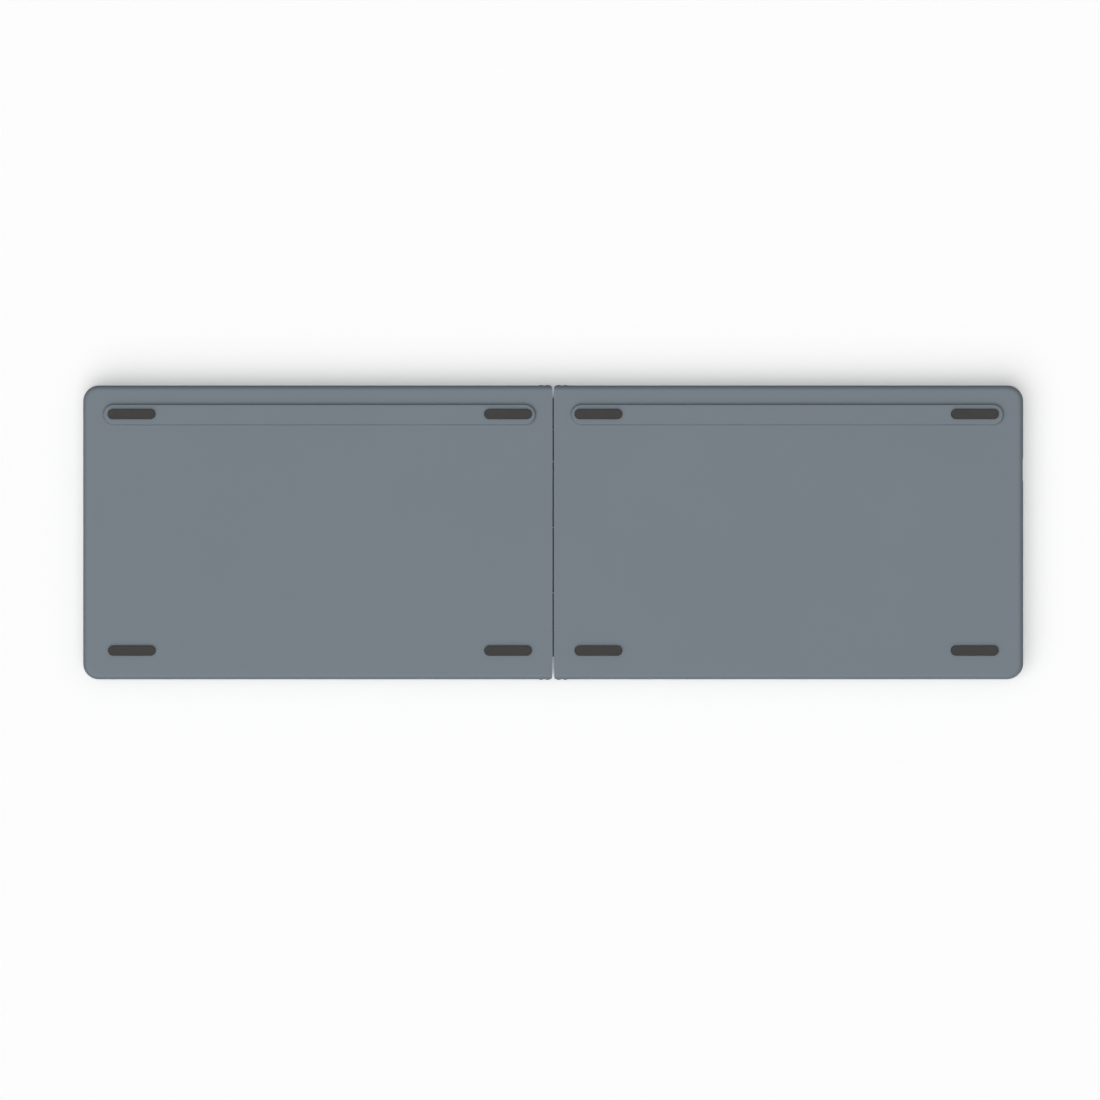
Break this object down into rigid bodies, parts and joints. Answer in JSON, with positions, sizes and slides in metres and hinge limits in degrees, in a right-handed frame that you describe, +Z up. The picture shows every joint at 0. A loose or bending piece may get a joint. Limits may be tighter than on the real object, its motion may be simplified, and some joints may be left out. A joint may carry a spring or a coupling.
{
  "type": "folding keyboard",
  "caption": "Portable keyboard in two tray-like halves on a barrel hinge level with the rim, with sprung keys, a ridge and rubber feet underneath, a charging socket and a power switch.",
  "frame": {"origin": "on the desk, below the middle of the keyboard, which stands open on its eight rubber feet with the keys up", "axes": "+X along the open keyboard to its right-hand end, +Y to the rear edge, where the ridge is, +Z up"},
  "size_m": [0.3, 0.0943, 0.0109],
  "materials": {
    "case_plastic": "fine satin moulded ABS, blue-grey",
    "deck_plastic": "fine satin moulded ABS, a shade darker than the case",
    "key_plastic": "fine-textured moulded ABS, charcoal",
    "foot_rubber": "matt moulded silicone rubber",
    "plate_steel": "stamped sheet steel",
    "membrane_film": "laminated polyester film",
    "dome_rubber": "moulded silicone",
    "link_plastic": "moulded acetal",
    "wire_steel": "bright drawn wire",
    "screw_steel": "zinc-plated steel",
    "magnet_nickel": "nickel-plated magnet",
    "hinge_metal": "satin painted die-cast zinc",
    "pin_steel": "ground steel",
    "flex_film": "amber polyimide film",
    "board_laminate": "solder-masked glass-epoxy laminate",
    "shield_tin": "tinned steel shield",
    "cell_foil": "aluminium laminate pouch",
    "socket_steel": "deep-drawn stainless steel",
    "switch_plastic": "moulded black nylon",
    "light_acrylic": "clear acrylic light pipe"
  },
  "bodies": {
    "left_half": {"bottom_case_left": "case_plastic", "deck_frame_left": "deck_plastic", "support_plate_left": "plate_steel", "membrane_left": "membrane_film", "key_domes_left": "dome_rubber", "scissor_links_left": "link_plastic", "stabiliser_wires_left": "wire_steel", "feet_left": "foot_rubber", "screws_left": "screw_steel", "magnets_left": "magnet_nickel", "hinge_leaf_left": "hinge_metal", "hinge_pins": "pin_steel", "flex_ribbon_left": "flex_film", "main_board": "board_laminate", "radio_module": "shield_tin", "charging_socket": "socket_steel", "power_switch_body": "switch_plastic", "status_lights": "light_acrylic"},
    "right_half": {"bottom_case_right": "case_plastic", "deck_frame_right": "deck_plastic", "support_plate_right": "plate_steel", "membrane_right": "membrane_film", "key_domes_right": "dome_rubber", "scissor_links_right": "link_plastic", "stabiliser_wires_right": "wire_steel", "feet_right": "foot_rubber", "screws_right": "screw_steel", "magnets_right": "magnet_nickel", "hinge_leaf_right": "hinge_metal", "flex_ribbon_right": "flex_film", "battery": "cell_foil"},
    "power_switch_knob": {"power_switch_knob": "switch_plastic"},
    "esc_key": {"esc_key": "key_plastic"},
    "number_keys_left": {"number_keys_left": "key_plastic"},
    "tab_key": {"tab_key": "key_plastic"},
    "upper_letter_keys_left": {"upper_letter_keys_left": "key_plastic"},
    "caps_lock_key": {"caps_lock_key": "key_plastic"},
    "home_letter_keys_left": {"home_letter_keys_left": "key_plastic"},
    "shift_key_left": {"shift_key_left": "key_plastic"},
    "lower_letter_keys_left": {"lower_letter_keys_left": "key_plastic"},
    "ctrl_key_left": {"ctrl_key_left": "key_plastic"},
    "fn_key": {"fn_key": "key_plastic"},
    "system_key": {"system_key": "key_plastic"},
    "alt_key_left": {"alt_key_left": "key_plastic"},
    "space_key_left": {"space_key_left": "key_plastic"},
    "number_keys_right": {"number_keys_right": "key_plastic"},
    "backspace_key": {"backspace_key": "key_plastic"},
    "upper_letter_keys_right": {"upper_letter_keys_right": "key_plastic"},
    "backslash_key": {"backslash_key": "key_plastic"},
    "home_letter_keys_right": {"home_letter_keys_right": "key_plastic"},
    "enter_key": {"enter_key": "key_plastic"},
    "lower_letter_keys_right": {"lower_letter_keys_right": "key_plastic"},
    "arrow_up_key": {"arrow_up_key": "key_plastic"},
    "shift_key_right": {"shift_key_right": "key_plastic"},
    "space_key_right": {"space_key_right": "key_plastic"},
    "alt_key_right": {"alt_key_right": "key_plastic"},
    "ctrl_key_right": {"ctrl_key_right": "key_plastic"},
    "arrow_left_key": {"arrow_left_key": "key_plastic"},
    "arrow_down_key": {"arrow_down_key": "key_plastic"},
    "arrow_right_key": {"arrow_right_key": "key_plastic"}
  },
  "joints": [
    {"name": "fold", "type": "hinge", "parent": "left_half", "child": "right_half", "pos_m": [0, -0.00011, 0.00825], "axis": [0, -0.9999, -0.0159], "range_deg": [0, 180]},
    {"name": "power_switch_slide", "type": "slide", "parent": "left_half", "child": "power_switch_knob", "axis": [0, 0.9999, 0.0159], "range_m": [0, 0.002]},
    {"name": "esc_key_press", "type": "slide", "parent": "left_half", "child": "esc_key", "axis": [0, 0.0159, -0.9999], "range_m": [0, 0.0012], "stiffness_N_per_m": 400, "springref_m": -0.0004, "deforming": ["key_domes_left", "scissor_links_left"]},
    {"name": "number_keys_left_press", "type": "slide", "parent": "left_half", "child": "number_keys_left", "axis": [0, 0.0159, -0.9999], "range_m": [0, 0.0012], "stiffness_N_per_m": 2400, "springref_m": -0.0004, "deforming": ["key_domes_left", "scissor_links_left"]},
    {"name": "tab_key_press", "type": "slide", "parent": "left_half", "child": "tab_key", "axis": [0, 0.0159, -0.9999], "range_m": [0, 0.0012], "stiffness_N_per_m": 400, "springref_m": -0.0004, "deforming": ["key_domes_left", "scissor_links_left"]},
    {"name": "upper_letter_keys_left_press", "type": "slide", "parent": "left_half", "child": "upper_letter_keys_left", "axis": [0, 0.0159, -0.9999], "range_m": [0, 0.0012], "stiffness_N_per_m": 2000, "springref_m": -0.0004, "deforming": ["key_domes_left", "scissor_links_left"]},
    {"name": "caps_lock_key_press", "type": "slide", "parent": "left_half", "child": "caps_lock_key", "axis": [0, 0.0159, -0.9999], "range_m": [0, 0.0012], "stiffness_N_per_m": 400, "springref_m": -0.0004, "deforming": ["key_domes_left", "scissor_links_left"]},
    {"name": "home_letter_keys_left_press", "type": "slide", "parent": "left_half", "child": "home_letter_keys_left", "axis": [0, 0.0159, -0.9999], "range_m": [0, 0.0012], "stiffness_N_per_m": 2000, "springref_m": -0.0004, "deforming": ["key_domes_left", "scissor_links_left"]},
    {"name": "shift_key_left_press", "type": "slide", "parent": "left_half", "child": "shift_key_left", "axis": [0, 0.0159, -0.9999], "range_m": [0, 0.0012], "stiffness_N_per_m": 400, "springref_m": -0.0004, "deforming": ["key_domes_left", "scissor_links_left"]},
    {"name": "lower_letter_keys_left_press", "type": "slide", "parent": "left_half", "child": "lower_letter_keys_left", "axis": [0, 0.0159, -0.9999], "range_m": [0, 0.0012], "stiffness_N_per_m": 2000, "springref_m": -0.0004, "deforming": ["key_domes_left", "scissor_links_left"]},
    {"name": "ctrl_key_left_press", "type": "slide", "parent": "left_half", "child": "ctrl_key_left", "axis": [0, 0.0159, -0.9999], "range_m": [0, 0.0012], "stiffness_N_per_m": 400, "springref_m": -0.0004, "deforming": ["key_domes_left", "scissor_links_left"]},
    {"name": "fn_key_press", "type": "slide", "parent": "left_half", "child": "fn_key", "axis": [0, 0.0159, -0.9999], "range_m": [0, 0.0012], "stiffness_N_per_m": 400, "springref_m": -0.0004, "deforming": ["key_domes_left", "scissor_links_left"]},
    {"name": "system_key_press", "type": "slide", "parent": "left_half", "child": "system_key", "axis": [0, 0.0159, -0.9999], "range_m": [0, 0.0012], "stiffness_N_per_m": 400, "springref_m": -0.0004, "deforming": ["key_domes_left", "scissor_links_left"]},
    {"name": "alt_key_left_press", "type": "slide", "parent": "left_half", "child": "alt_key_left", "axis": [0, 0.0159, -0.9999], "range_m": [0, 0.0012], "stiffness_N_per_m": 400, "springref_m": -0.0004, "deforming": ["key_domes_left", "scissor_links_left"]},
    {"name": "space_key_left_press", "type": "slide", "parent": "left_half", "child": "space_key_left", "axis": [0, 0.0159, -0.9999], "range_m": [0, 0.0012], "stiffness_N_per_m": 400, "springref_m": -0.0004, "deforming": ["key_domes_left", "scissor_links_left"]},
    {"name": "number_keys_right_press", "type": "slide", "parent": "right_half", "child": "number_keys_right", "axis": [0, 0.0159, -0.9999], "range_m": [0, 0.0012], "stiffness_N_per_m": 2400, "springref_m": -0.0004, "deforming": ["key_domes_right", "scissor_links_right"]},
    {"name": "backspace_key_press", "type": "slide", "parent": "right_half", "child": "backspace_key", "axis": [0, 0.0159, -0.9999], "range_m": [0, 0.0012], "stiffness_N_per_m": 400, "springref_m": -0.0004, "deforming": ["key_domes_right", "scissor_links_right"]},
    {"name": "upper_letter_keys_right_press", "type": "slide", "parent": "right_half", "child": "upper_letter_keys_right", "axis": [0, 0.0159, -0.9999], "range_m": [0, 0.0012], "stiffness_N_per_m": 2800, "springref_m": -0.0004, "deforming": ["key_domes_right", "scissor_links_right"]},
    {"name": "backslash_key_press", "type": "slide", "parent": "right_half", "child": "backslash_key", "axis": [0, 0.0159, -0.9999], "range_m": [0, 0.0012], "stiffness_N_per_m": 400, "springref_m": -0.0004, "deforming": ["key_domes_right", "scissor_links_right"]},
    {"name": "home_letter_keys_right_press", "type": "slide", "parent": "right_half", "child": "home_letter_keys_right", "axis": [0, 0.0159, -0.9999], "range_m": [0, 0.0012], "stiffness_N_per_m": 2400, "springref_m": -0.0004, "deforming": ["key_domes_right", "scissor_links_right"]},
    {"name": "enter_key_press", "type": "slide", "parent": "right_half", "child": "enter_key", "axis": [0, 0.0159, -0.9999], "range_m": [0, 0.0012], "stiffness_N_per_m": 400, "springref_m": -0.0004, "deforming": ["key_domes_right", "scissor_links_right"]},
    {"name": "lower_letter_keys_right_press", "type": "slide", "parent": "right_half", "child": "lower_letter_keys_right", "axis": [0, 0.0159, -0.9999], "range_m": [0, 0.0012], "stiffness_N_per_m": 2000, "springref_m": -0.0004, "deforming": ["key_domes_right", "scissor_links_right"]},
    {"name": "arrow_up_key_press", "type": "slide", "parent": "right_half", "child": "arrow_up_key", "axis": [0, 0.0159, -0.9999], "range_m": [0, 0.0012], "stiffness_N_per_m": 400, "springref_m": -0.0004, "deforming": ["key_domes_right", "scissor_links_right"]},
    {"name": "shift_key_right_press", "type": "slide", "parent": "right_half", "child": "shift_key_right", "axis": [0, 0.0159, -0.9999], "range_m": [0, 0.0012], "stiffness_N_per_m": 400, "springref_m": -0.0004, "deforming": ["key_domes_right", "scissor_links_right"]},
    {"name": "space_key_right_press", "type": "slide", "parent": "right_half", "child": "space_key_right", "axis": [0, 0.0159, -0.9999], "range_m": [0, 0.0012], "stiffness_N_per_m": 400, "springref_m": -0.0004, "deforming": ["key_domes_right", "scissor_links_right"]},
    {"name": "alt_key_right_press", "type": "slide", "parent": "right_half", "child": "alt_key_right", "axis": [0, 0.0159, -0.9999], "range_m": [0, 0.0012], "stiffness_N_per_m": 400, "springref_m": -0.0004, "deforming": ["key_domes_right", "scissor_links_right"]},
    {"name": "ctrl_key_right_press", "type": "slide", "parent": "right_half", "child": "ctrl_key_right", "axis": [0, 0.0159, -0.9999], "range_m": [0, 0.0012], "stiffness_N_per_m": 400, "springref_m": -0.0004, "deforming": ["key_domes_right", "scissor_links_right"]},
    {"name": "arrow_left_key_press", "type": "slide", "parent": "right_half", "child": "arrow_left_key", "axis": [0, 0.0159, -0.9999], "range_m": [0, 0.0012], "stiffness_N_per_m": 400, "springref_m": -0.0004, "deforming": ["key_domes_right", "scissor_links_right"]},
    {"name": "arrow_down_key_press", "type": "slide", "parent": "right_half", "child": "arrow_down_key", "axis": [0, 0.0159, -0.9999], "range_m": [0, 0.0012], "stiffness_N_per_m": 400, "springref_m": -0.0004, "deforming": ["key_domes_right", "scissor_links_right"]},
    {"name": "arrow_right_key_press", "type": "slide", "parent": "right_half", "child": "arrow_right_key", "axis": [0, 0.0159, -0.9999], "range_m": [0, 0.0012], "stiffness_N_per_m": 400, "springref_m": -0.0004, "deforming": ["key_domes_right", "scissor_links_right"]}
  ]
}
